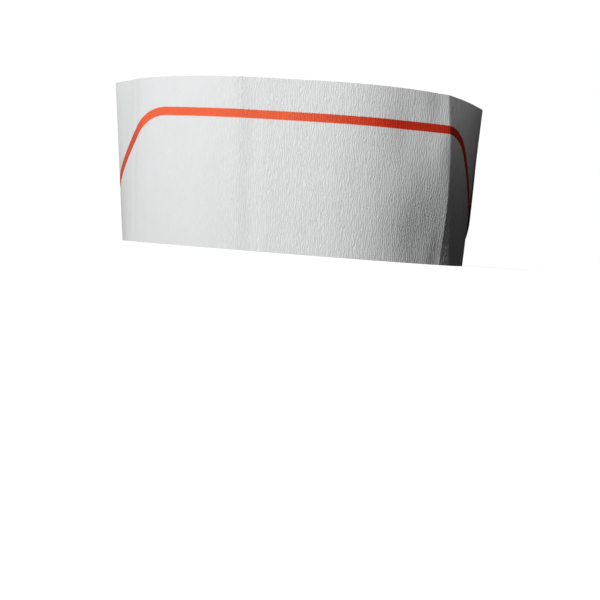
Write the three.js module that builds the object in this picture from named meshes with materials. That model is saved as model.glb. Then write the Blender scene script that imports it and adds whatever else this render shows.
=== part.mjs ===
import * as THREE from "three";

// Paper soda jerk hat, in millimetres. +Z is up, the rim lies on Z = 0, the wearer's face points to -Y and
// their left side to +X. The wall is one strip of creped paper, folded down the front, creased at the two
// back corners and lapped at the middle of the back. The crown is a sheet with a lengthwise valley fold.

// Driving dimensions of the wall
const wallHeight = 96;
const tipFall = 3;
const rimLength = 203;
const rimWidth = 157;
const topLength = 218.5;
const topWidth = 142;
const frontLean = 11;
const paperThickness = 1;
const clearance = 0.3;

// Lap at the middle of the back: the inner end runs on under the outer end, whose lower corner is cut away
const innerEndOverlap = 24;
const outerEndOverlap = 3;
const lapRampLength = 24;
const cornerCutLength = 24;
const cornerCutHeight = 26;

// Crown: its tips start this many wall thicknesses from the front fold and from the middle of the back
const crownDrop = 2.5;
const valleyDepth = 24;
const valleyFullness = 0.6;
const crownTip = 1.5;

// Printed stripe: level along the side, falling to a point at the front and at the back
const stripeWidth = 4.8;
const stripeDrop = 20.4;
const stripeFrontDip = 42.5;
const stripeBackDip = 50.2;
const stripeSlope = THREE.MathUtils.degToRad(47);
const stripeBendRadius = 36;
const stripeThickness = 0.3;

// Fineness of the faceted surfaces
const columnSpacing = 4;
const wallRows = 4;

// The wall's left half. The side runs from the front fold to the back crease and the back from there to the
// middle of the back. The along columns are shares of topLength or rimLength from the front, the out columns
// shares of half of topWidth or rimWidth, and fall the share of tipFall by which the top edge lies lower.
const sideSections = [
  { place: "front fold", topAlong: 0, topOut: 0, fall: 1, rimAlong: 0, rimOut: 0 },
  { place: "beside the fold", topAlong: 0.014, topOut: 0.06, fall: 0.9, rimAlong: 0.005, rimOut: 0.08 },
  { place: "forehead", topAlong: 0.048, topOut: 0.2, fall: 0.7, rimAlong: 0.025, rimOut: 0.217 },
  { place: "before soft crease", topAlong: 0.087, topOut: 0.375, fall: 0.5, rimAlong: 0.062, rimOut: 0.357 },
  { place: "after soft crease", topAlong: 0.14, topOut: 0.526, fall: 0.32, rimAlong: 0.122, rimOut: 0.51 },
  { place: "temple", topAlong: 0.235, topOut: 0.7, fall: 0.12, rimAlong: 0.219, rimOut: 0.694 },
  { place: "soft bend", topAlong: 0.335, topOut: 0.845, fall: 0.02, rimAlong: 0.328, rimOut: 0.828 },
  { place: "before the ear", topAlong: 0.46, topOut: 0.93, fall: 0, rimAlong: 0.458, rimOut: 0.934 },
  { place: "widest", topAlong: 0.65, topOut: 1, fall: 0, rimAlong: 0.652, rimOut: 1 },
  { place: "behind the ear", topAlong: 0.785, topOut: 0.93, fall: 0.12, rimAlong: 0.8, rimOut: 0.911 },
  { place: "back crease", topAlong: 0.892, topOut: 0.786, fall: 0.4, rimAlong: 0.914, rimOut: 0.72 },
];
const backSections = [
  { place: "back crease", topAlong: 0.892, topOut: 0.786, fall: 0.4, rimAlong: 0.914, rimOut: 0.72 },
  { place: "back panel", topAlong: 0.94, topOut: 0.54, fall: 0.72, rimAlong: 0.962, rimOut: 0.49 },
  { place: "near the lap", topAlong: 0.982, topOut: 0.22, fall: 0.95, rimAlong: 0.99, rimOut: 0.21 },
  { place: "middle of the back", topAlong: 1, topOut: 0, fall: 1, rimAlong: 1, rimOut: 0 },
];

// Across the crown, from its edge at the wall to the valley: shares of the half width and of the valley depth
const crownSections = [
  { place: "edge", out: 1, depth: 0 },
  { place: "upper slope", out: 0.8, depth: 0.2 },
  { place: "middle slope", out: 0.55, depth: 0.48 },
  { place: "lower slope", out: 0.3, depth: 0.76 },
  { place: "beside the valley", out: 0.08, depth: 0.97 },
  { place: "valley", out: 0, depth: 1 },
];

// Wall surface

function smoothCurve(points) {
  return new THREE.CatmullRomCurve3(points, false, "centripetal");
}

function mirrored(point) {
  return new THREE.Vector3(-point.x, point.y, point.z);
}

// One edge of the strip, given by how a row of the tables is placed
function makeEdge(place) {
  const backLeft = backSections.map(place);
  const backRight = backLeft.slice(0, -1).reverse().map(mirrored);
  return {
    side: smoothCurve(sideSections.map(place)),
    back: smoothCurve([...backLeft, ...backRight]),
  };
}

const topEdge = makeEdge(
  ({ topAlong, topOut, fall }) =>
    new THREE.Vector3((topOut * topWidth) / 2, topAlong * topLength - frontLean, wallHeight - fall * tipFall),
);
const rimEdge = makeEdge(
  ({ rimAlong, rimOut }) => new THREE.Vector3((rimOut * rimWidth) / 2, rimAlong * rimLength, 0),
);
const sideReach = (topEdge.side.getLength() + rimEdge.side.getLength()) / 2;
const backReach = (topEdge.back.getLength() + rimEdge.back.getLength()) / 2;
const halfReach = sideReach + backReach / 2;

// A place on the strip is its reach, the distance from the front fold, positive on the wearer's left. Past
// halfReach it goes on round the middle of the back.
function edgePoint(edge, reach) {
  const length = Math.abs(reach);
  const point =
    length <= sideReach
      ? edge.side.getPointAt(length / sideReach)
      : edge.back.getPointAt((length - sideReach) / backReach);
  return reach < 0 ? mirrored(point) : point;
}

function topHeight(reach) {
  return edgePoint(topEdge, reach).z;
}

// The plan place of the wall's outer face at a height
function wallPoint(reach, height) {
  const top = edgePoint(topEdge, reach);
  const rim = edgePoint(rimEdge, reach);
  const point = rim.lerp(top, height / top.z);
  return new THREE.Vector2(point.x, point.y);
}

// Evenly spaced reaches from start to end, with one on every crease between them
function columnReaches(start, end) {
  const creases = [-halfReach, -sideReach, 0, sideReach, halfReach];
  const stops = [start, ...creases.filter((crease) => crease > start && crease < end), end];
  const reaches = [start];
  for (let stop = 1; stop < stops.length; stop += 1) {
    const span = stops[stop] - stops[stop - 1];
    const steps = Math.ceil(span / columnSpacing);
    for (let step = 1; step <= steps; step += 1) {
      reaches.push(stops[stop - 1] + (span * step) / steps);
    }
  }
  return reaches;
}

// The strip runs toward +X across the front, so its outward side is on the right of its direction
function outwardNormal(from, to) {
  const along = to.clone().sub(from).normalize();
  return new THREE.Vector2(along.y, -along.x);
}

// A point off the wall's outer face, mitred so that a skin or the inner face keeps its distance at a crease
function offWall(reaches, column, height, distance) {
  const here = wallPoint(reaches[column], height);
  const before = wallPoint(reaches[Math.max(column - 1, 0)], height);
  const after = wallPoint(reaches[Math.min(column + 1, reaches.length - 1)], height);
  const first = column > 0 ? outwardNormal(before, here) : outwardNormal(here, after);
  const second = column < reaches.length - 1 ? outwardNormal(here, after) : first;
  const mitre = first.clone().add(second).multiplyScalar(distance / (1 + first.dot(second)));
  return new THREE.Vector3(here.x + mitre.x, here.y + mitre.y, height);
}

// Solids

// A closed sheet between two grids of points with equal rows and columns. Seen from the outer grid's side,
// columns run to the right and rows run up.
function closedSheet(outer, inner) {
  const columns = outer.length;
  const rows = outer[0].length;
  const positions = [...outer.flat(), ...inner.flat()].flatMap((point) => point.toArray());
  const outerAt = (column, row) => column * rows + row;
  const innerAt = (column, row) => columns * rows + column * rows + row;
  const indices = [];
  const addQuad = (a, b, c, d) => indices.push(a, b, c, a, c, d);
  for (let i = 0; i + 1 < columns; i += 1) {
    for (let j = 0; j + 1 < rows; j += 1) {
      addQuad(outerAt(i, j), outerAt(i + 1, j), outerAt(i + 1, j + 1), outerAt(i, j + 1));
      addQuad(innerAt(i, j), innerAt(i, j + 1), innerAt(i + 1, j + 1), innerAt(i + 1, j));
    }
    const top = rows - 1;
    addQuad(outerAt(i, top), outerAt(i + 1, top), innerAt(i + 1, top), innerAt(i, top));
    addQuad(outerAt(i, 0), innerAt(i, 0), innerAt(i + 1, 0), outerAt(i + 1, 0));
  }
  const last = columns - 1;
  for (let j = 0; j + 1 < rows; j += 1) {
    addQuad(outerAt(0, j), outerAt(0, j + 1), innerAt(0, j + 1), innerAt(0, j));
    addQuad(outerAt(last, j), innerAt(last, j), innerAt(last, j + 1), outerAt(last, j + 1));
  }
  const geometry = new THREE.BufferGeometry();
  geometry.setAttribute("position", new THREE.Float32BufferAttribute(positions, 3));
  geometry.setIndex(indices);
  geometry.computeVertexNormals();
  return geometry;
}

// How far the strip stands off its own line: the outer end climbs over the inner end beneath it
function lapStand(reach) {
  const rampEnd = -(halfReach - innerEndOverlap - clearance);
  const climb = THREE.MathUtils.smoothstep(-reach, -rampEnd - lapRampLength, -rampEnd);
  return climb * (paperThickness + clearance);
}

// The foot of the strip: on the rim plane, and rising along the outer end's cut corner
function footHeight(reach) {
  const outerEnd = halfReach + outerEndOverlap;
  const beyondCutStart = Math.max(0, -reach - (outerEnd - cornerCutLength));
  return (cornerCutHeight * beyondCutStart) / cornerCutLength;
}

function makeBand() {
  const reaches = columnReaches(-(halfReach + outerEndOverlap), halfReach + innerEndOverlap);
  const face = (inset) =>
    reaches.map((reach, column) => {
      const foot = footHeight(reach);
      const rows = [];
      for (let row = 0; row <= wallRows; row += 1) {
        const height = THREE.MathUtils.lerp(foot, topHeight(reach), row / wallRows);
        rows.push(offWall(reaches, column, height, lapStand(reach) - inset));
      }
      return rows;
    });
  return closedSheet(face(0), face(paperThickness));
}

// Depth of the crown's valley, as a share of valleyDepth, at a share of the crown's length
function valleyShare(along) {
  return Math.sin(Math.PI * THREE.MathUtils.clamp(along, 0, 1)) ** valleyFullness;
}

function makeCrown() {
  const inset = paperThickness + clearance;
  const tipReach = crownTip * inset;
  const reaches = columnReaches(tipReach, halfReach - tipReach);
  const rightHalf = crownSections.slice(0, -1).reverse().map((row) => ({ ...row, out: -row.out }));
  const across = [...crownSections, ...rightHalf];
  const face = (drop) => {
    const edge = reaches.map((reach, column) => offWall(reaches, column, topHeight(reach) - drop, -inset));
    const front = edge[0].y;
    const back = edge[edge.length - 1].y;
    return edge.map((point) => {
      const depth = valleyDepth * valleyShare((point.y - front) / (back - front));
      return across.map((row) => new THREE.Vector3(row.out * point.x, point.y, point.z - depth * row.depth));
    });
  };
  return closedSheet(face(crownDrop), face(crownDrop + paperThickness));
}

// Height of the stripe's upper (side 1) or lower (side -1) border at a distance from the point where it is
// lowest: a straight climb, an arc and a level run
function stripeBorder(distance, dip, side) {
  const level = wallHeight - stripeDrop;
  const radius = stripeBendRadius + (side * stripeWidth) / 2;
  const arcCentre = dip / Math.tan(stripeSlope) + stripeBendRadius * Math.tan(stripeSlope / 2);
  const beforeCentre = arcCentre - distance;
  const arcHalf = radius * Math.sin(stripeSlope);
  if (beforeCentre <= 0) {
    return level + (side * stripeWidth) / 2;
  }
  if (beforeCentre <= arcHalf) {
    return level - stripeBendRadius + Math.sqrt(radius ** 2 - beforeCentre ** 2);
  }
  const climbTop = level - stripeBendRadius + radius * Math.cos(stripeSlope);
  return climbTop - (beforeCentre - arcHalf) * Math.tan(stripeSlope);
}

// One half of the stripe, a thin skin just off the wall between two reaches
function makeStripe(start, end) {
  const reaches = columnReaches(start, end);
  const face = (distance) =>
    reaches.map((reach, column) => {
      const fromFront = Math.abs(reach);
      const fromBack = Math.max(0, halfReach - fromFront);
      const atFront = fromFront < fromBack;
      const lowestAt = atFront ? fromFront : fromBack;
      const dip = atFront ? stripeFrontDip : stripeBackDip;
      const lowestInk = footHeight(reach) + clearance;
      return [-1, 1].map((side) => {
        const height = Math.max(stripeBorder(lowestAt, dip, side), lowestInk);
        return offWall(reaches, column, height, lapStand(reach) + distance);
      });
    });
  return closedSheet(face(clearance + stripeThickness), face(clearance));
}

// Assembly

const paper = new THREE.MeshStandardMaterial({ color: 0xdfe0e2, roughness: 0.95, metalness: 0 });
const crownPaper = new THREE.MeshStandardMaterial({ color: 0xd6d7d9, roughness: 0.95, metalness: 0 });
const ink = new THREE.MeshStandardMaterial({ color: 0xe8542c, roughness: 0.85, metalness: 0 });

const hat = new THREE.Group();

function addPiece(name, geometry, material) {
  const mesh = new THREE.Mesh(geometry, material);
  mesh.name = name;
  hat.add(mesh);
}

addPiece("band", makeBand(), paper);
addPiece("crown", makeCrown(), crownPaper);
addPiece("stripe_left", makeStripe(clearance / 2, halfReach - outerEndOverlap - clearance), ink);
addPiece("stripe_right", makeStripe(-halfReach, -clearance / 2), ink);

// The origin is the middle of the bounding box at the rim
const bounds = new THREE.Box3().setFromObject(hat);
hat.position.set(0, -(bounds.min.y + bounds.max.y) / 2, 0);

export default hat;
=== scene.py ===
"""Soda jerk cap of creped paper: the finished look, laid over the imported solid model."""

import math
from typing import NamedTuple

import bmesh
import bpy
import numpy as np
from bpy.props import FloatProperty, FloatVectorProperty, IntProperty, PointerProperty
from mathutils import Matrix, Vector
from mathutils.bvhtree import BVHTree


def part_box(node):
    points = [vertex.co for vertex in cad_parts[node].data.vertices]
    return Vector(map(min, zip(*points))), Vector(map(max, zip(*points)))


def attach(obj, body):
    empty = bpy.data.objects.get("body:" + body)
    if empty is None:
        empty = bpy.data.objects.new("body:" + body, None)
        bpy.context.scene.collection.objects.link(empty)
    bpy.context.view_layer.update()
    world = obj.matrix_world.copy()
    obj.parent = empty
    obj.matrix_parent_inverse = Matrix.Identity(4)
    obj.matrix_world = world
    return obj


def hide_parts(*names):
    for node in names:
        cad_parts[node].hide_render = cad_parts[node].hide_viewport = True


bl_info = {
    "name": "Creped Paper Cap",
    "version": (1, 0, 0),
    "blender": (4, 5, 0),
    "location": "View3D > Sidebar > Paper Cap",
    "description": "Makes a soda jerk cap of creped paper, with its crown, printed stripe and studio",
    "category": "Mesh",
}

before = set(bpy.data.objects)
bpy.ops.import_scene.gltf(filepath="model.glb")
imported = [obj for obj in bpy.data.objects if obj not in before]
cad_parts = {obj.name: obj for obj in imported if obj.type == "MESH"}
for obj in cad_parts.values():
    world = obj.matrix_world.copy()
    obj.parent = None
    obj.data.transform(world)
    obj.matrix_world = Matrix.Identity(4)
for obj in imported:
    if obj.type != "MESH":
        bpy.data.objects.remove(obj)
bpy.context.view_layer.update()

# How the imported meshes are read: points closer than MERGE_DISTANCE are one, a face belongs to the outer
# side, the top edge or the foot by how far its normal points that way, and a line is folded where it turns
# by more than CREASE_TURN
MERGE_DISTANCE = 1e-6
OUTER_FACING = 0.5
EDGE_FACING = 0.5
CREASE_TURN = math.radians(12)

# Spacing of the points that a smoothed line is kept as. It is also the smallest clearance
LINE_STEP = 0.0001

# Corners sharper than this stay sharp in the shading
SMOOTH_ANGLE = math.radians(50)


class SoftFold(NamedTuple):
    """A low swell, or with a negative rise a hollow, on both sides of the cap. Its reach is measured from
    the front fold and its share up from the wall's foot. Past its width and its span it has nearly gone."""

    name: str
    reach: float
    width: float
    share: float
    span: float
    rise: float


SOFT_FOLDS = (
    SoftFold("crease beside the front fold", 0.027, 0.0025, 1.0, 3.0, -0.00015),
    SoftFold("corner of the side", 0.1015, 0.012, 0.8, 4.0, 0.0004),
    SoftFold("hollow behind the corner", 0.110, 0.012, 0.5, 4.0, -0.0004),
    SoftFold("hollow before the back crease", 0.1988, 0.0219, 0.777, 0.56, -0.0013),
    SoftFold("swell at the back crease", 0.2177, 0.012, 0.73, 0.4, 0.00157),
    SoftFold("dent under the top edge", 0.2174, 0.013, 0.852, 0.4, -0.0015),
    SoftFold("hollow at the foot", 0.2065, 0.0317, 0.114, 0.53, -0.0022),
    SoftFold("foot of the back crease", 0.2225, 0.014, 0.026, 0.4, -0.0015),
)

# The foot of the back crease lies CREASE_BOW farther back than the solid's. Going up, the step first swells
# and then dies out at the top edge. It takes along the wall beside the crease, over CREASE_BOW_WIDTH, and
# goes the way that the side runs just before the crease, which is read over SIDE_READ_STEP
CREASE_BOW = 0.0016
CREASE_BOW_SWELL = 6
CREASE_BOW_WIDTH = 0.03
SIDE_READ_STEP = 0.0016

# How far the solid's lap stands off the end under it. Its free end is drawn in fully from 1 / LAP_CLIMB of
# the way up
LAP_STAND = 0.0013
LAP_CLIMB = 1.6

# The band's inner side has this many times fewer faces than the outer one, each way
INNER_COARSENESS = 3


class CrepeStep(NamedTuple):
    """A change in how strongly the band is creped, between two reaches."""

    start: float
    end: float
    change: float


# The front of the band is pressed nearly smooth
CREPE_AT_FRONT = 0.2
CREPE_STEPS = (
    CrepeStep(0.075, 0.105, 0.6),
    CrepeStep(0.115, 0.145, 0.2),
    CrepeStep(0.165, 0.200, -0.25),
    CrepeStep(0.222, 0.226, 0.9),
)

# Fine wrinkles waver along the strip by WRINKLE_WANDER radians of their wave at most. The patterns that
# make them waver, and that make them deep or shallow, are this many wrinkles wide
WRINKLE_WANDER = 16
WANDER_WIDTH = 1.6
DEPTH_WIDTH = 1.5

# Width and length of the fibres and of the paper's mottle
FIBRE_SIZE = (0.0003, 0.0009)
MOTTLE_SIZE = (0.005, 0.012)

# Strength of the wrinkles' painted shade and of the paper's mottle, and the fibres' height as a share of
# the wrinkles'
WRINKLE_PAINTED_SHADE = 0.9
MOTTLE_TINT = 0.5
FIBRE_RELIEF = 0.1

# How dark the painted shade in the bottoms of the wrinkles gets, on bare paper and on ink, and how far the
# ink's borders stray at the wrinkles, as a share of their softness
PAPER_SHADE = 0.12
INK_SHADE = 0.2
INK_RAGGEDNESS = 0.7

# Reaches between which the ink turns from one of its colours to the next. Towards the back it turns darker
# as painted shade
FRONT_INK_ENDS = (0.026, 0.036)
BACK_SHADE_STARTS = (0.13, 0.19)

# Least and greatest roughness of the paper, and how little it shines
PAPER_ROUGHNESS = (0.8, 0.95)
PAPER_SPECULAR = 0.1


class CrownCrease(NamedTuple):
    """A soft lengthwise crease of the crown, on both sides. Its place and width are shares of the way from
    the middle out to the wall."""

    place: float
    width: float
    rise: float


CROWN_CREASES = (
    CrownCrease(0.32, 0.05, 0.0007),
    CrownCrease(0.58, 0.05, -0.0006),
    CrownCrease(0.80, 0.05, 0.0005),
)

# Half width of the cap from which the crown's creases have their full height
CROWN_CREASE_FADE = 0.04

# Faces of the crown's upper and lower side, along the wall and across
CROWN_UPPER_FACES = (520, 100)
CROWN_LOWER_FACES = (170, 30)

# The crown stops CROWN_TIP short of the front fold and of the middle of the back. Its waves and creases die
# out towards the wall over CROWN_EDGE, as a share of the way out
CROWN_TIP = 0.002
CROWN_EDGE = 1 / 12

# Width and length of the crown's soft waves and of its wrinkles, and the waves' height against the band's
CROWN_PUCKER_SIZE = (0.02, 0.07)
CROWN_CREPE_SIZE = (0.0035, 0.014)
CROWN_PUCKERING = 2

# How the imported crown's valley is read and smoothed, along the cap
VALLEY_STEP = 0.0005
VALLEY_SOFTENING = 0.002

# How its section is read and smoothed, in shares of the way out to the wall, and where the readings stop
PROFILE_STEP = 0.005
PROFILE_SOFTENING = 0.03
PROFILE_END = 0.98


class SoftLight(NamedTuple):
    """A square soft light that faces the cap. Its power is a share of the key light's."""

    name: str
    place: tuple
    size: float
    power: float


LIGHTS = (
    SoftLight("key_light", (1.04, -0.79, 0.9), 0.7, 1.0),
    SoftLight("side_light", (-1.1, 0.0, 0.8), 0.9, 0.3),
    SoftLight("top_light", (-0.1, 0.2, 1.6), 1.4, 0.055),
    SoftLight("back_light", (0.068, 0.14, 0.128), 0.05, 0.00028),
)

# Distances from the cap between which the floor's glow turns into the cove's
GLOW_TURNS = (0.2, 0.6)

# Paint and facets of the floor and the cove
FLOOR_GREY = 0.25
FLOOR_ROUGHNESS = 0.9
COVE_SIDES = 96
COVE_BEND_SEGMENTS = 16


# Settings


class PaperSettings(bpy.types.PropertyGroup):
    """Sheet, folds and crepe of the band and the crown."""

    thickness: FloatProperty(
        name="Thickness",
        description="Thickness of the creped sheet",
        default=0.0005,
        min=0.0001,
        max=0.001,
        unit="LENGTH",
    )
    fold_radius: FloatProperty(
        name="Fold radius",
        description="How softly the sheet turns at its folds",
        default=0.0007,
        min=0.0002,
        unit="LENGTH",
    )
    columns: IntProperty(
        name="Columns",
        description="Faces along the band's outer side",
        default=1400,
        min=100,
    )
    rows: IntProperty(
        name="Rows",
        description="Faces up the band's outer side",
        default=58,
        min=4,
    )
    crepe_width: FloatProperty(
        name="Crepe width",
        description="Distance from one fine wrinkle of the crepe to the next",
        default=0.00125,
        unit="LENGTH",
    )
    crepe_length: FloatProperty(
        name="Crepe length",
        description="Length of one fine wrinkle of the crepe",
        default=0.0052,
        unit="LENGTH",
    )
    crepe_depth: FloatProperty(
        name="Crepe depth",
        description="Height of the fine wrinkles",
        default=0.0001,
        unit="LENGTH",
    )
    coarse_width: FloatProperty(
        name="Coarse crepe width",
        description="Distance from one coarse wrinkle of the crepe to the next",
        default=0.0026,
        unit="LENGTH",
    )
    coarse_length: FloatProperty(
        name="Coarse crepe length",
        description="Length of one coarse wrinkle of the crepe",
        default=0.009,
        unit="LENGTH",
    )
    coarse_depth: FloatProperty(
        name="Coarse crepe depth",
        description="Height of the coarse wrinkles",
        default=0.00016,
        unit="LENGTH",
    )
    pucker_width: FloatProperty(
        name="Pucker width",
        description="Distance between the sheet's soft waves",
        default=0.03,
        unit="LENGTH",
    )
    pucker_length: FloatProperty(
        name="Pucker length",
        description="Length of the sheet's soft waves",
        default=0.09,
        unit="LENGTH",
    )
    pucker_depth: FloatProperty(
        name="Pucker depth",
        description="Height of the sheet's soft waves",
        default=0.0005,
        unit="LENGTH",
    )
    colour: FloatVectorProperty(
        name="Colour",
        description="Colour of the bare paper",
        default=(0.78, 0.785, 0.79),
        size=3,
        min=0,
        max=1,
        subtype="COLOR",
    )


class StripeSettings(bpy.types.PropertyGroup):
    """Place and ink of the printed stripe."""

    width: FloatProperty(
        name="Width",
        description="Width of the level run",
        default=0.0048,
        unit="LENGTH",
    )
    front_dip: FloatProperty(
        name="Front dip",
        description="How far the stripe falls to its point at the front fold",
        default=0.0425,
        unit="LENGTH",
    )
    back_dip: FloatProperty(
        name="Back dip",
        description="How far the stripe falls to its point at the middle of the back",
        default=0.0502,
        unit="LENGTH",
    )
    slope: FloatProperty(
        name="Slope",
        description="Slope of the falling runs",
        default=math.radians(47),
        subtype="ANGLE",
    )
    bend_radius: FloatProperty(
        name="Bend radius",
        description="Radius of the bend between a falling run and the level run",
        default=0.036,
        unit="LENGTH",
    )
    edge_softness: FloatProperty(
        name="Edge softness",
        description="How far the ink fades out at the stripe's borders",
        default=0.0003,
        unit="LENGTH",
    )
    front_colour: FloatVectorProperty(
        name="Colour at the front",
        description="Colour of the ink on the falling run beside the front fold",
        default=(0.68, 0.108, 0.06),
        size=3,
        min=0,
        max=1,
        subtype="COLOR",
    )
    colour: FloatVectorProperty(
        name="Colour",
        description="Colour of the ink on the front half of the level run",
        default=(0.91, 0.142, 0.058),
        size=3,
        min=0,
        max=1,
        subtype="COLOR",
    )
    # The ink's colour towards the back is darker and deeper than its own colour: painted shade
    back_shaded_colour: FloatVectorProperty(
        name="Colour at the back",
        description="Colour of the denser ink towards the back",
        default=(0.7, 0.035, 0.012),
        size=3,
        min=0,
        max=1,
        subtype="COLOR",
    )


class StudioSettings(bpy.types.PropertyGroup):
    """Floor, lights and camera."""

    floor_radius: FloatProperty(
        name="Floor radius",
        description="Radius of the floor",
        default=5,
        unit="LENGTH",
    )
    cove_height: FloatProperty(
        name="Cove height",
        description="Height of the cove",
        default=4,
        unit="LENGTH",
    )
    cove_bend: FloatProperty(
        name="Cove bend",
        description="Radius of the cove's bend",
        default=1.5,
        unit="LENGTH",
    )
    floor_glow: FloatProperty(
        name="Floor glow",
        description="Brightness of the floor round the cap before any light falls on it",
        default=0.86,
    )
    cove_glow: FloatProperty(
        name="Cove glow",
        description="Brightness of the cove and the far floor before any light falls on them",
        default=1.0,
    )
    key_power: FloatProperty(
        name="Key light",
        description="Power of the large soft light",
        default=30,
        unit="POWER",
    )
    fill: FloatProperty(
        name="Fill",
        description="Brightness of the surroundings",
        default=0.01,
    )
    lens: FloatProperty(
        name="Lens",
        description="Focal length of the camera",
        default=90.5,
        subtype="DISTANCE_CAMERA",
    )
    camera_place: FloatVectorProperty(
        name="Camera place",
        description="Place of the camera, just above the floor on the wearer's left",
        default=(0.9, 0.0256, 0.008),
        size=3,
        subtype="TRANSLATION",
        unit="LENGTH",
    )
    camera_turn: FloatVectorProperty(
        name="Camera turn",
        description="Turn of the camera",
        default=(math.radians(87.735), math.radians(-4.328), math.radians(91.188)),
        size=3,
        subtype="EULER",
    )


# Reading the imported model


def select_only(obj):
    bpy.ops.object.select_all(action="DESELECT")
    obj.select_set(True)
    bpy.context.view_layer.objects.active = obj


def merged_copy(node):
    """The node's mesh as a bmesh whose touching corners are joined. The node itself is left alone."""
    copy = bmesh.new()
    copy.from_mesh(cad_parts[node].data)
    bmesh.ops.remove_doubles(copy, verts=copy.verts, dist=MERGE_DISTANCE)
    return copy


def faces_outward(face):
    centre = face.calc_center_median()
    return face.normal.dot(Vector((centre.x, centre.y, 0)).normalized()) > OUTER_FACING


def walk_line(edges):
    """The points of a chain of edges in order, from the end that lies on the wearer's left."""
    beside = {}
    for edge in edges:
        first, second = edge.verts
        beside.setdefault(first, []).append(second)
        beside.setdefault(second, []).append(first)
    ends = [vertex for vertex, others in beside.items() if len(others) == 1]
    here = max(ends, key=lambda vertex: vertex.co.x)
    before = None
    points = []
    while here is not None:
        points.append(here.co[:])
        onward = [vertex for vertex in beside[here] if vertex is not before]
        before, here = here, onward[0] if onward else None
    return np.array(points)


def wall_lines():
    """Top and foot of the band's outer face, from the outer end of the strip round to its inner end."""
    band = merged_copy("band")

    def line(is_border):
        return walk_line(
            edge
            for edge in band.edges
            if any(faces_outward(face) for face in edge.link_faces)
            and any(is_border(face) for face in edge.link_faces)
        )

    top = line(lambda face: face.normal.z > EDGE_FACING)
    foot = line(lambda face: face.normal.z < -EDGE_FACING)
    band.free()
    return top, foot


# Smooth lines


def slopes_of(points, places, sharp):
    """Slopes before and after each point. They differ only where the line is folded."""
    steps = np.diff(points, axis=0) / np.diff(places)[:, None]
    before = np.vstack((steps[:1], steps))
    after = np.vstack((steps, steps[-1:]))
    smooth = (before + after) / 2
    folded = sharp[:, None]
    return np.where(folded, before, smooth), np.where(folded, after, smooth)


def refine_line(points, places, sharp, wanted):
    """Points at the wanted places of a smooth line through the given ones."""
    before, after = slopes_of(points, places, sharp)
    left = np.clip(np.searchsorted(places, wanted, side="right") - 1, 0, len(places) - 2)
    span = (places[left + 1] - places[left])[:, None]
    share = (wanted - places[left])[:, None] / span
    rest = 1 - share
    return (
        points[left] * (1 + 2 * share) * rest**2
        + points[left + 1] * (3 - 2 * share) * share**2
        + after[left] * span * share * rest**2
        - before[left + 1] * span * share**2 * rest
    )


def soften(values, reach, step):
    """A line of values blurred over a distance, with its ends kept."""
    half = int(3 * reach / step)
    offsets = np.arange(-half, half + 1) * step
    weights = np.exp(-0.5 * (offsets / reach) ** 2)
    weights /= weights.sum()
    start = 2 * values[0] - values[half:0:-1]
    end = 2 * values[-1] - values[-2 : -half - 2 : -1]
    padded = np.concatenate((start, values, end))
    return np.convolve(padded, weights, mode="valid")


def ease(values):
    """A smooth climb from 0 at 0 to 1 at 1."""
    share = np.clip(values, 0, 1)
    return share**2 * (3 - 2 * share)


class Wall:
    """The surface that the band follows. A place on it is its reach, the distance along the strip from the
    front fold, positive on the wearer's left, and its share of the way from the foot to the top edge."""

    def __init__(self, fold_radius):
        top, foot = wall_lines()
        steps = sum(np.linalg.norm(np.diff(line, axis=0), axis=1) for line in (top, foot)) / 2
        places = np.concatenate(([0], np.cumsum(steps)))
        places -= places[np.argmin(top[:, 1])]
        directions = np.diff(top[:, :2], axis=0)
        headings = np.unwrap(np.arctan2(directions[:, 1], directions[:, 0]))
        sharp = np.zeros(len(top), bool)
        sharp[1:-1] = np.abs(np.diff(headings)) > CREASE_TURN
        self.places = np.arange(places[0], places[-1], LINE_STEP)
        self.start, self.end = self.places[0], self.places[-1]
        self.top, self.foot = (
            self.softened(refine_line(line, places, sharp, self.places), fold_radius)
            for line in (top, foot)
        )
        self.crease = places[sharp].max()
        behind = self.places > self.end / 2
        self.half = self.places[behind][np.argmin(np.abs(self.top[behind, 0]))]

    @staticmethod
    def softened(line, fold_radius):
        return np.column_stack([soften(axis, fold_radius, LINE_STEP) for axis in line.T])

    def read(self, line, reach):
        return np.column_stack([np.interp(reach, self.places, axis) for axis in line.T])

    def heights(self, reach, share):
        foot = np.interp(reach, self.places, self.foot[:, 2])
        top = np.interp(reach, self.places, self.top[:, 2])
        return foot + share * (top - foot)

    def shares(self, reach, below_top):
        """The share of the way up at a distance below the top edge."""
        foot = np.interp(reach, self.places, self.foot[:, 2])
        top = np.interp(reach, self.places, self.top[:, 2])
        return 1 - below_top / (top - foot)

    def bow(self, reach, share):
        """How far the back creases, and the wall beside them, lie behind the solid's, as steps in plan."""
        side = self.read(self.top, self.crease - SIDE_READ_STEP * np.array([2, 1]))
        back = (side[1] - side[0]) * (1, 1, 0)
        back /= np.linalg.norm(back)
        beside = (np.abs(reach) - self.crease) / (CREASE_BOW_WIDTH / 2)
        size = CREASE_BOW * (1 + CREASE_BOW_SWELL * share) * (1 - share) * np.exp(-(beside**2))
        across = np.sign(reach) * back[0]
        along = np.full(len(reach), back[1])
        return size[:, None] * np.column_stack((across, along, np.zeros(len(reach))))

    def points(self, reach, share, off):
        """Places in space, off the outer face by a distance, with the soft folds and the bow in it."""
        off = off + soft_folds(reach, share)
        bow = self.bow(reach, share)
        share = share[:, None]
        here = self.read(self.foot, reach) * (1 - share) + self.read(self.top, reach) * share
        along = self.read(np.gradient(self.foot, axis=0), reach) * (1 - share)
        along += self.read(np.gradient(self.top, axis=0), reach) * share
        outward = np.column_stack((along[:, 1], -along[:, 0], np.zeros(len(along))))
        outward /= np.linalg.norm(outward, axis=1)[:, None]
        return here + outward * off[:, None] + bow


# Sheets


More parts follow.
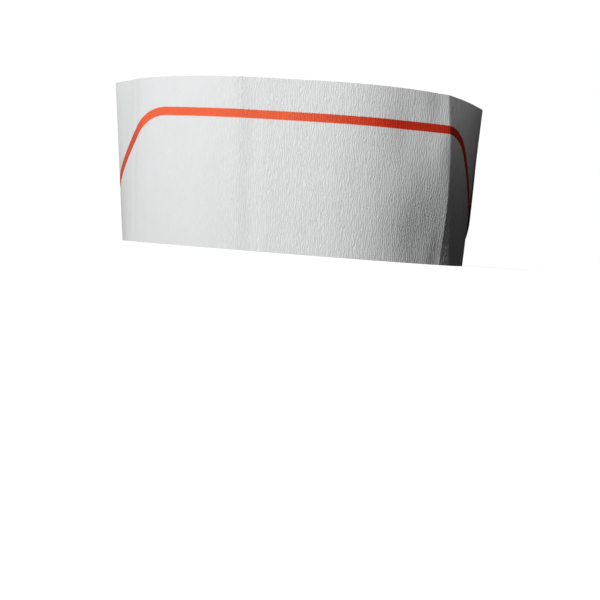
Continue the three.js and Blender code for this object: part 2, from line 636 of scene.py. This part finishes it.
def read_points(mesh):
    points = np.empty(len(mesh.vertices) * 3)
    mesh.vertices.foreach_get("co", points)
    return points.reshape(-1, 3)


def write_points(mesh, points):
    mesh.vertices.foreach_set("co", points.ravel())
    mesh.update()


def write_map(mesh, name, across, up):
    """A UV map that gives each corner the two values of its vertex."""
    vertices = np.empty(len(mesh.loops), int)
    mesh.loops.foreach_get("vertex_index", vertices)
    layer = mesh.uv_layers.get(name) or mesh.uv_layers.new(name=name)
    layer.data.foreach_set("uv", np.column_stack((across[vertices], up[vertices])).ravel())


def add_sheet(name, outer, inner, thickness):
    """A flat square sheet of two layers, closed round its border: a fine one on top and a coarser one
    below. outer and inner are the layers' faces along and up."""
    bpy.ops.object.select_all(action="DESELECT")
    bpy.ops.mesh.primitive_grid_add(x_subdivisions=outer[0], y_subdivisions=outer[1], size=1)
    sheet = bpy.context.object
    sheet.name = sheet.data.name = name
    bpy.ops.object.mode_set(mode="EDIT")
    bpy.ops.mesh.primitive_grid_add(
        x_subdivisions=inner[0],
        y_subdivisions=inner[1],
        size=1,
        location=(0, 0, -thickness),
    )
    bpy.ops.mesh.flip_normals()
    bpy.ops.mesh.select_mode(type="EDGE")
    bpy.ops.mesh.select_all(action="DESELECT")
    bpy.ops.mesh.select_non_manifold()
    bpy.ops.mesh.bridge_edge_loops()
    bpy.ops.object.mode_set(mode="OBJECT")
    return sheet


def wrinkle(sheet, name, depth, across, up, group=""):
    """Raises the flat sheet by a soft noise and applies it. across and up are its vertices' places,
    counted in wrinkles."""
    write_map(sheet.data, name, across, up)
    pattern = bpy.data.textures.new(name, type="CLOUDS")
    pattern.noise_basis = "IMPROVED_PERLIN"
    pattern.noise_scale = 1
    pattern.noise_depth = 1
    modifier = sheet.modifiers.new(name, "DISPLACE")
    modifier.texture = pattern
    modifier.texture_coords = "UV"
    modifier.uv_layer = name
    modifier.direction = "Z"
    modifier.mid_level = 0.5
    modifier.strength = depth
    modifier.vertex_group = group
    select_only(sheet)
    bpy.ops.object.modifier_apply(modifier=name)
    sheet.data.uv_layers.remove(sheet.data.uv_layers[name])


def soft_folds(reach, share):
    """How far the soft folds stand off the wall."""
    off = np.zeros(len(reach))
    for fold in SOFT_FOLDS:
        beside = (np.abs(reach) - fold.reach) / (fold.width / 2)
        above = (share - fold.share) / (fold.span / 2)
        off += fold.rise * np.exp(-(beside**2) - above**2)
    return off


# Materials


class Value:
    """A number on its way through a material's nodes."""

    def __init__(self, finish, socket):
        self.finish = finish
        self.socket = socket

    def __add__(self, other):
        return self.finish.math("ADD", self, other)

    __radd__ = __add__

    def __sub__(self, other):
        return self.finish.math("SUBTRACT", self, other)

    def __rsub__(self, other):
        return self.finish.math("SUBTRACT", other, self)

    def __mul__(self, other):
        return self.finish.math("MULTIPLY", self, other)

    def __truediv__(self, other):
        return self.finish.math("DIVIDE", self, other)

    def __pow__(self, other):
        return self.finish.math("POWER", self, other)

    def __abs__(self):
        return self.finish.math("ABSOLUTE", self)

    def at_least(self, other):
        return self.finish.math("MAXIMUM", self, other)

    def at_most(self, other):
        return self.finish.math("MINIMUM", self, other)

    def clamped(self):
        return self.at_least(0).at_most(1)

    def climb(self, start, end):
        """0 up to the start, 1 from the end on, and a straight climb between them."""
        return ((self - start) / (end - start)).clamped()

    def root(self):
        return self.finish.math("SQRT", self)

    def sine(self):
        return self.finish.math("SINE", self)


def opaque(colour):
    return (*colour, 1)


def grey(brightness):
    return opaque((brightness,) * 3)


class Finish:
    """A material whose nodes are added one by one."""

    def __init__(self, name):
        self.material = bpy.data.materials.new(name)
        self.material.use_nodes = True
        self.tree = self.material.node_tree
        self.shader = self.tree.nodes["Principled BSDF"]

    def join(self, value, socket):
        if isinstance(value, Value):
            self.tree.links.new(value.socket, socket)
        else:
            socket.default_value = value

    def node(self, kind, settings=None, inputs=None, output=0):
        """Adds a node and returns one of its outputs. inputs gives values by socket name or number."""
        made = self.tree.nodes.new(kind)
        for name, value in (settings or {}).items():
            setattr(made, name, value)
        for key, value in (inputs or {}).items():
            self.join(value, made.inputs[key])
        return Value(self, made.outputs[output])

    def math(self, operation, *values):
        return self.node("ShaderNodeMath", {"operation": operation}, dict(enumerate(values)))

    def mix(self, factor, first, second):
        settings = {"data_type": "RGBA", "clamp_factor": True}
        return self.node("ShaderNodeMix", settings, {0: factor, 6: first, 7: second}, 2)

    def split(self, place):
        """The first two numbers of a vector."""
        return (self.node("ShaderNodeSeparateXYZ", {}, {0: place}, axis) for axis in (0, 1))

    def noise(self, across, up, detail, roughness=0.5):
        place = self.node("ShaderNodeCombineXYZ", {}, {0: across, 1: up})
        inputs = {"Vector": place, "Scale": 1.0, "Detail": detail, "Roughness": roughness}
        return self.node("ShaderNodeTexNoise", {}, inputs, "Fac")

    def set(self, name, value):
        self.join(value, self.shader.inputs[name])


def crepe_strength(reach):
    """How strongly the band is creped at a reach."""
    strength = CREPE_AT_FRONT
    for step in CREPE_STEPS:
        strength = abs(reach).climb(step.start, step.end) * step.change + strength
    return strength


def stripe_ink(settings, reach, height, half_reach):
    """1 on the printed stripe and 0 off it: a level run along the side, falling to a point at the front
    fold and at the middle of the back."""
    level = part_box("stripe_left")[1].z - settings.width / 2
    fall = math.tan(settings.slope)

    def bend_centre(dip):
        return dip / fall + settings.bend_radius * math.tan(settings.slope / 2)

    from_front = abs(reach)
    from_back = abs(half_reach - from_front)
    before_front = bend_centre(settings.front_dip) - from_front
    before_back = bend_centre(settings.back_dip) - from_back
    before_bend = before_front.at_least(before_back)

    def border(side):
        radius = settings.bend_radius + side * settings.width / 2
        bend_half = radius * math.sin(settings.slope)
        in_bend = before_bend.at_least(0).at_most(bend_half)
        arc = (radius**2 - in_bend**2).root()
        climb = (before_bend - bend_half).at_least(0) * fall
        return arc - climb + (level - settings.bend_radius)

    below_top = ((border(1) - height) / settings.edge_softness + 0.5).clamped()
    above_foot = ((height - border(-1)) / settings.edge_softness + 0.5).clamped()
    return below_top * above_foot


def fine_crepe(finish, paper, reach, height):
    """Fine wrinkles up the strip that waver, run together and part again, from 0 to 1."""
    up = height / paper.crepe_length
    wander = finish.noise(reach / (WANDER_WIDTH * paper.crepe_width), up, detail=1)
    depth = finish.noise(reach / (DEPTH_WIDTH * paper.crepe_width), up, detail=1)
    waves = (reach * (math.tau / paper.crepe_width) + wander * WRINKLE_WANDER).sine()
    return 0.5 + waves * depth


def creped_paper(name, paper, stripe=None, half_reach=0.0):
    """Matt creped paper, the bottoms of its wrinkles darkened as painted shade. With stripe settings, the
    stripe is printed on it.
    """
    finish = Finish(name)
    reach, height = finish.split(finish.node("ShaderNodeUVMap", {"uv_map": "strip"}))
    wrinkles = fine_crepe(finish, paper, reach, height)
    fibres = finish.noise(reach / FIBRE_SIZE[0], height / FIBRE_SIZE[1], detail=2, roughness=0.6)
    mottle = finish.noise(reach / MOTTLE_SIZE[0], height / MOTTLE_SIZE[1], detail=3, roughness=0.6)
    strength, colour, darkest = 1.0, opaque(paper.colour), PAPER_SHADE
    if stripe:
        strength = crepe_strength(reach)
        ragged = height + (wrinkles - 0.5) * strength * stripe.edge_softness * INK_RAGGEDNESS
        ink = stripe_ink(stripe, reach, ragged, half_reach)
        past_front = abs(reach).climb(*FRONT_INK_ENDS)
        shade_towards_back = abs(reach).climb(*BACK_SHADE_STARTS)
        ink_and_back_shade = finish.mix(past_front, opaque(stripe.front_colour), opaque(stripe.colour))
        # Towards the back the ink turns to its darker colour, which is painted shade
        ink_and_back_shade = finish.mix(shade_towards_back, ink_and_back_shade, opaque(stripe.back_shaded_colour))
        colour = finish.mix(ink, colour, ink_and_back_shade)
        # On the ink the painted shade in the wrinkles grows with the crepe's strength
        darkest = PAPER_SHADE + ink * strength * (INK_SHADE - PAPER_SHADE)
    # The bottoms of the wrinkles are darkened as painted shade. The mottle is the paper's own uneven tone
    shade = 0.5 + (wrinkles - 0.5) * strength * WRINKLE_PAINTED_SHADE + (mottle - 0.5) * MOTTLE_TINT
    shadow = finish.mix(darkest, colour, grey(0))
    finish.set("Base Color", finish.mix(shade.clamped(), shadow, colour))
    smoothest, roughest = PAPER_ROUGHNESS
    finish.set("Roughness", smoothest + fibres * (roughest - smoothest))
    finish.set("Specular IOR Level", PAPER_SPECULAR)
    relief = (wrinkles + fibres * FIBRE_RELIEF) * strength
    bump = {"Strength": 1.0, "Distance": paper.crepe_depth, "Height": relief}
    finish.set("Normal", finish.node("ShaderNodeBump", {}, bump))
    return finish.material


def studio_white(studio):
    """Pale floor that glows a little, most towards the cove, so that it has no horizon."""
    finish = Finish("studio_white")
    place = finish.node("ShaderNodeTexCoord", {}, {}, "Object")
    distance = finish.node("ShaderNodeVectorMath", {"operation": "LENGTH"}, {0: place}, "Value")
    near_glow = grey(studio.floor_glow)
    far_glow = grey(studio.cove_glow)
    finish.set("Base Color", grey(FLOOR_GREY))
    finish.set("Roughness", FLOOR_ROUGHNESS)
    finish.set("Specular IOR Level", 0.0)
    finish.set("Emission Color", finish.mix(distance.climb(*GLOW_TURNS), near_glow, far_glow))
    finish.set("Emission Strength", 1.0)
    return finish.material


# Operators


class PAPERCAP_OT_band(bpy.types.Operator):
    """Lay the creped and printed strip round the cap"""

    bl_idname = "paper_cap.band"
    bl_label = "Creped Band"

    def execute(self, context):
        paper = context.scene.paper_cap.paper
        stripe = context.scene.paper_cap.stripe
        wall = Wall(paper.fold_radius)
        inner_faces = (paper.columns // INNER_COARSENESS, paper.rows // INNER_COARSENESS)
        band = add_sheet("paper_band", (paper.columns, paper.rows), inner_faces, paper.thickness)
        mesh = band.data
        flat = read_points(mesh)
        reach = wall.start + (flat[:, 0] + 0.5) * (wall.end - wall.start)
        share = flat[:, 1] + 0.5
        height = wall.heights(reach, share)
        outer = flat[:, 2] > -paper.thickness / 2
        band.vertex_groups.new(name="outer").add(np.flatnonzero(outer).tolist(), 1.0, "REPLACE")
        wrinkle(
            band,
            "puckers",
            paper.pucker_depth,
            reach / paper.pucker_width,
            height / paper.pucker_length,
        )
        wrinkle(
            band,
            "coarse_crepe",
            paper.coarse_depth,
            reach / paper.coarse_width,
            height / paper.coarse_length,
            "outer",
        )
        off = read_points(mesh)[:, 2] - self.lap_tuck(wall, paper, reach, share)
        points = wall.points(reach, share, off)
        points[:, 2] = np.maximum(points[:, 2], 0)
        write_points(mesh, points)
        # The inner side has its heights below zero, where there is no ink
        write_map(mesh, "strip", reach, np.where(outer, height, -height))
        mesh.materials.append(creped_paper("creped_paper", paper, stripe, wall.half))
        select_only(band)
        bpy.ops.object.shade_smooth_by_angle(angle=SMOOTH_ANGLE)
        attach(band, "root")
        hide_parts("band", "stripe_left", "stripe_right")
        return {"FINISHED"}

    @staticmethod
    def lap_tuck(wall, paper, reach, share):
        """How far the lap's free end is drawn in, more towards its top, to lie on the end under it."""
        overlap = wall.end - wall.half
        inner_end = wall.half - overlap
        over = ease((-reach - inner_end) / overlap + 1)
        return over * ease(share * LAP_CLIMB) * (LAP_STAND - paper.thickness - LINE_STEP)


class PAPERCAP_OT_crown(bpy.types.Operator):
    """Fold the creped crown inside the band"""

    bl_idname = "paper_cap.crown"
    bl_label = "Folded Crown"

    def execute(self, context):
        paper = context.scene.paper_cap.paper
        wall = Wall(paper.fold_radius)
        crown = add_sheet("paper_crown", CROWN_UPPER_FACES, CROWN_LOWER_FACES, paper.thickness)
        mesh = crown.data
        flat = read_points(mesh)
        reach = CROWN_TIP + (flat[:, 0] + 0.5) * (wall.half - 2 * CROWN_TIP)
        across = 2 * flat[:, 1]
        drop = wall.top[:, 2].max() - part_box("crown")[1].z
        inset = np.full(len(reach), -paper.thickness - LINE_STEP)
        edge = wall.points(reach, wall.shares(reach, drop), inset)
        for name, depth, size in (
            ("puckers", paper.pucker_depth * CROWN_PUCKERING, CROWN_PUCKER_SIZE),
            ("coarse_crepe", paper.coarse_depth, CROWN_CREPE_SIZE),
        ):
            wrinkle(crown, name, depth, across * edge[:, 0] / size[0], edge[:, 1] / size[1])
        inward = ease((1 - np.abs(across)) / CROWN_EDGE)
        lower = np.where(flat[:, 2] < -paper.thickness / 2, -paper.thickness, 0)
        creases = sum(
            crease.rise * np.exp(-(((np.abs(across) - crease.place) / (crease.width / 2)) ** 2))
            for crease in CROWN_CREASES
        )
        creases = creases * ease(edge[:, 0] / CROWN_CREASE_FADE)
        lift = lower + (read_points(mesh)[:, 2] - lower + creases) * inward
        valley = self.valley(edge[:, 1]) * self.profile(np.abs(across))
        points = np.column_stack((across * edge[:, 0], edge[:, 1], edge[:, 2] - valley + lift))
        write_points(mesh, points)
        write_map(mesh, "strip", points[:, 0], points[:, 1])
        mesh.materials.append(creped_paper("crown_paper", paper))
        select_only(crown)
        bpy.ops.object.shade_smooth_by_angle(angle=SMOOTH_ANGLE)
        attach(crown, "root")
        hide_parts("crown")
        return {"FINISHED"}

    @staticmethod
    def heights(places):
        """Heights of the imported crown's upper side at places in plan."""
        copy = merged_copy("crown")
        tree = BVHTree.FromBMesh(copy)
        copy.free()
        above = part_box("crown")[1].z + LINE_STEP
        hits = [tree.ray_cast(Vector((x, y, above)), Vector((0, 0, -1)))[0] for x, y in places]
        return np.array([hit.z if hit else above for hit in hits])

    def valley(self, along):
        """Depth of the valley at places along the cap."""
        low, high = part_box("crown")
        line = np.arange(low.y + VALLEY_STEP, high.y - VALLEY_STEP, VALLEY_STEP)
        depths = high.z - self.heights([(0, y) for y in line])
        return np.interp(along, line, soften(depths, VALLEY_SOFTENING, VALLEY_STEP))

    def profile(self, across):
        """Share of the valley's depth at shares of the way out to the wall."""
        low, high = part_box("crown")
        middle = (low.y + high.y) / 2
        line = np.arange(0, PROFILE_END, PROFILE_STEP)
        depths = high.z - self.heights([(share * high.x, middle) for share in line])
        shares = soften(depths / depths[0], PROFILE_SOFTENING, PROFILE_STEP)
        return np.interp(across, [*line, 1], [*shares, 0])


class PAPERCAP_OT_studio(bpy.types.Operator):
    """Set up the floor, the lights and the camera"""

    bl_idname = "paper_cap.studio"
    bl_label = "Studio"

    def execute(self, context):
        studio = context.scene.paper_cap.studio
        self.add_cove(studio)
        for light in LIGHTS:
            self.add_light(light, studio.key_power)
        world = bpy.data.worlds.new("studio")
        world.use_nodes = True
        fill = world.node_tree.nodes["Background"]
        fill.inputs["Color"].default_value = grey(1)
        fill.inputs["Strength"].default_value = studio.fill
        context.scene.world = world
        bpy.ops.object.camera_add(location=studio.camera_place, rotation=studio.camera_turn)
        camera = context.object
        camera.data.lens = studio.lens
        camera.data.clip_start = 0.001
        context.scene.camera = camera
        context.scene.view_settings.view_transform = "Standard"
        return {"FINISHED"}

    @staticmethod
    def add_cove(studio):
        """A round floor whose border bends up into a wall. It lights nothing itself."""
        bpy.ops.object.select_all(action="DESELECT")
        bpy.ops.mesh.primitive_circle_add(
            vertices=COVE_SIDES,
            radius=studio.floor_radius,
            fill_type="NGON",
        )
        cove = bpy.context.object
        cove.name = cove.data.name = "cove"
        bpy.ops.object.mode_set(mode="EDIT")
        bpy.ops.mesh.select_mode(type="EDGE")
        bpy.ops.mesh.select_non_manifold()
        bpy.ops.mesh.extrude_region_move(TRANSFORM_OT_translate={"value": (0, 0, studio.cove_height)})
        bpy.ops.object.mode_set(mode="OBJECT")
        for edge in cove.data.edges:
            edge.select = all(abs(cove.data.vertices[i].co.z) < LINE_STEP for i in edge.vertices)
        bpy.ops.object.mode_set(mode="EDIT")
        bpy.ops.mesh.bevel(offset=studio.cove_bend, segments=COVE_BEND_SEGMENTS)
        bpy.ops.object.mode_set(mode="OBJECT")
        bpy.ops.object.shade_smooth()
        cove.data.materials.append(studio_white(studio))
        cove.visible_diffuse = False
        cove.visible_glossy = False
        cove.visible_transmission = False

    @staticmethod
    def add_light(light, key_power):
        place = Vector(light.place)
        turn = place.to_track_quat("Z", "Y").to_euler()
        bpy.ops.object.light_add(type="AREA", location=place, rotation=turn)
        lamp = bpy.context.object
        lamp.name = lamp.data.name = light.name
        lamp.data.size = light.size
        lamp.data.energy = key_power * light.power
        lamp.visible_camera = False


class PaperCapSettings(bpy.types.PropertyGroup):
    """All settings of the cap and its studio."""

    paper: PointerProperty(type=PaperSettings)
    stripe: PointerProperty(type=StripeSettings)
    studio: PointerProperty(type=StudioSettings)


class PAPERCAP_PT_panel(bpy.types.Panel):
    """Sidebar panel that lists the cap's operators"""

    bl_idname = "PAPERCAP_PT_panel"
    bl_label = "Paper Cap"
    bl_space_type = "VIEW_3D"
    bl_region_type = "UI"
    bl_category = "Paper Cap"

    def draw(self, context):
        for operator in OPERATORS:
            self.layout.operator(operator.bl_idname)


OPERATORS = (PAPERCAP_OT_band, PAPERCAP_OT_crown, PAPERCAP_OT_studio)
CLASSES = (PaperSettings, StripeSettings, StudioSettings, PaperCapSettings, *OPERATORS, PAPERCAP_PT_panel)


def register():
    for cls in CLASSES:
        bpy.utils.register_class(cls)
    bpy.types.Scene.paper_cap = PointerProperty(type=PaperCapSettings)


def unregister():
    del bpy.types.Scene.paper_cap
    for cls in reversed(CLASSES):
        bpy.utils.unregister_class(cls)


def main():
    register()
    bpy.ops.paper_cap.band()
    bpy.ops.paper_cap.crown()
    bpy.ops.paper_cap.studio()


if __name__ == "__main__":
    main()
